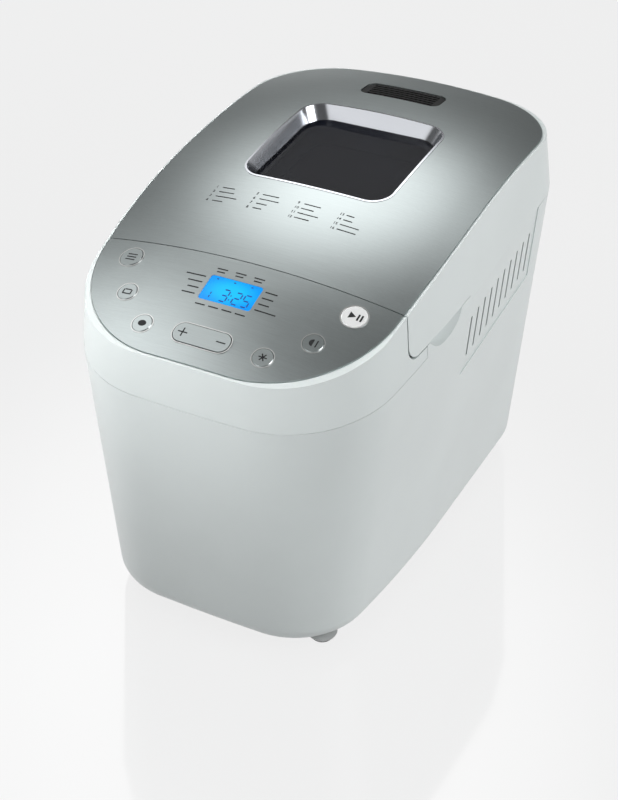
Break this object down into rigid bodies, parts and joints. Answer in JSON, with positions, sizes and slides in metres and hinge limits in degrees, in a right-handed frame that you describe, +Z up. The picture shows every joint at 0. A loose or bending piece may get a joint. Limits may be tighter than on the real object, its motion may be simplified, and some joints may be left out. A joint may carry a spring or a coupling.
{
  "type": "bread machine",
  "caption": "Tabletop bread machine with a hinged domed lid and window, sloping control panel with push keys and display, lift-out pan and belt driven kneading paddles",
  "frame": {"origin": "centre of the footprint, on the surface that the feet stand on", "axes": "+Z up, front with the control panel towards -Y, +X to the right seen from the front"},
  "size_m": [0.246, 0.372, 0.2982],
  "materials": {
    "body_white": "satin moulded plastic",
    "deck_white": "matte heat resistant plastic",
    "steel_skin": "fine brushed",
    "bezel_silver": "satin anodised",
    "window_tint": "tinted",
    "display_clear": "clear",
    "display_blue": "backlit",
    "key_silver": "metallic satin",
    "key_pale": "pale satin",
    "vent_black": "matte black",
    "base_grey": "matte",
    "rubber_dark": "matte",
    "seal_grey": "soft silicone",
    "liner_metal": "drawn sheet",
    "oven_steel": "drawn sheet",
    "chassis_steel": "zinc plated",
    "heater_sheath": "heat darkened",
    "pan_coating": "dark non-stick coating",
    "pan_fittings": "plain cast",
    "bright_steel": "bright wire",
    "pulley_plastic": "natural nylon",
    "motor_can": "plated can",
    "capacitor_case": "moulded case",
    "board_green": "solder mask"
  },
  "bodies": {
    "root": {"base_plate": "base_grey", "base_screws": "chassis_steel", "bearing_housings": "pan_fittings", "control_board": "board_green", "control_plate": "steel_skin", "cord_gland": "base_grey", "cross_belt": "rubber_dark", "deck_frame": "deck_white", "display_lens": "display_clear", "display_module": "display_blue", "drive_chassis": "chassis_steel", "element_clips": "chassis_steel", "feet": "base_grey", "foot_pads": "rubber_dark", "front_collar": "body_white", "heating_element": "heater_sheath", "hinge_pins": "chassis_steel", "key_switches": "board_green", "lower_housing": "body_white", "main_belt": "rubber_dark", "motor": "motor_can", "motor_capacitor": "capacitor_case", "motor_mounts": "rubber_dark", "oven_chamber": "oven_steel", "pan_socket": "oven_steel", "power_board": "board_green", "temperature_probe": "chassis_steel"},
    "lid": {"lid_shell": "body_white", "lid_plate": "steel_skin", "window_bezel": "bezel_silver", "window_glass": "window_tint", "inner_glass": "window_tint", "lid_liner": "liner_metal", "lid_seal": "seal_grey", "steam_grille": "vent_black", "lid_screws": "chassis_steel"},
    "pan": {"bread_pan": "pan_coating", "pan_base": "pan_fittings", "pan_bushings": "pan_fittings"},
    "handle": {"bail_handle": "bright_steel"},
    "front_drive": {"front_spindle": "bright_steel", "front_pulley": "pulley_plastic"},
    "rear_drive": {"rear_spindle": "bright_steel", "rear_pulley": "pulley_plastic"},
    "motor_rotor": {"motor_shaft": "bright_steel", "motor_pulley": "pulley_plastic"},
    "front_kneader": {"front_pan_shaft": "bright_steel", "front_paddle": "pan_coating"},
    "rear_kneader": {"rear_pan_shaft": "bright_steel", "rear_paddle": "pan_coating"},
    "menu_key": {"menu_button": "key_silver"},
    "loaf_size_key": {"loaf_size_button": "key_silver"},
    "dough_key": {"dough_button": "key_silver"},
    "custom_key": {"custom_button": "key_silver"},
    "crust_key": {"crust_button": "key_silver"},
    "start_key": {"start_button": "key_pale"},
    "rocker": {"adjust_rocker": "key_silver"}
  },
  "joints": [
    {"name": "lid_hinge", "type": "hinge", "parent": "root", "child": "lid", "pos_m": [0, 0.1815, 0.24993], "axis": [-1, 0, 0], "range_deg": [0, 80]},
    {"name": "pan_lift", "type": "slide", "parent": "root", "child": "pan", "axis": [0, 0, 1], "range_m": [0, 0.035]},
    {"name": "handle_fold", "type": "hinge", "parent": "pan", "child": "handle", "pos_m": [0, 0.04, 0.2045], "axis": [0, -1, 0], "range_deg": [0, 90]},
    {"name": "front_spin", "type": "hinge", "parent": "root", "child": "front_drive", "pos_m": [0, -0.012, 0], "axis": [0, 0, 1], "continuous": true},
    {"name": "rear_spin", "type": "hinge", "parent": "root", "child": "rear_drive", "pos_m": [0, 0.092, 0], "axis": [0, 0, 1], "continuous": true},
    {"name": "motor_spin", "type": "hinge", "parent": "root", "child": "motor_rotor", "pos_m": [0, -0.124, 0], "axis": [0, 0, 1], "continuous": true},
    {"name": "front_knead", "type": "hinge", "parent": "pan", "child": "front_kneader", "pos_m": [0, -0.012, 0], "axis": [0, 0, 1], "continuous": true},
    {"name": "rear_knead", "type": "hinge", "parent": "pan", "child": "rear_kneader", "pos_m": [0, 0.092, 0], "axis": [0, 0, 1], "continuous": true},
    {"name": "menu_press", "type": "slide", "parent": "root", "child": "menu_key", "axis": [0.1175, 0.3129, -0.9425], "range_m": [0, 0.001], "stiffness_N_per_m": 400},
    {"name": "loaf_size_press", "type": "slide", "parent": "root", "child": "loaf_size_key", "axis": [0.0969, 0.3526, -0.9307], "range_m": [0, 0.001], "stiffness_N_per_m": 400},
    {"name": "dough_press", "type": "slide", "parent": "root", "child": "dough_key", "axis": [0.0625, 0.3819, -0.9221], "range_m": [0, 0.001], "stiffness_N_per_m": 400},
    {"name": "custom_press", "type": "slide", "parent": "root", "child": "custom_key", "axis": [-0.0625, 0.3819, -0.9221], "range_m": [0, 0.001], "stiffness_N_per_m": 400},
    {"name": "crust_press", "type": "slide", "parent": "root", "child": "crust_key", "axis": [-0.0969, 0.3526, -0.9307], "range_m": [0, 0.001], "stiffness_N_per_m": 400},
    {"name": "start_press", "type": "slide", "parent": "root", "child": "start_key", "axis": [-0.1175, 0.3129, -0.9425], "range_m": [0, 0.001], "stiffness_N_per_m": 400},
    {"name": "adjust_rock", "type": "hinge", "parent": "root", "child": "rocker", "pos_m": [0, -0.16121, 0.23807], "axis": [0, 0.9245, 0.3812], "range_deg": [-3, 3], "stiffness_Nm_per_rad": 0.2}
  ],
  "couplings": [
    {"joint": "rear_spin", "follows": "front_spin", "ratio": 1},
    {"joint": "motor_spin", "follows": "front_spin", "ratio": 4.75},
    {"joint": "front_knead", "follows": "front_spin", "ratio": 1},
    {"joint": "rear_knead", "follows": "front_spin", "ratio": 1}
  ]
}
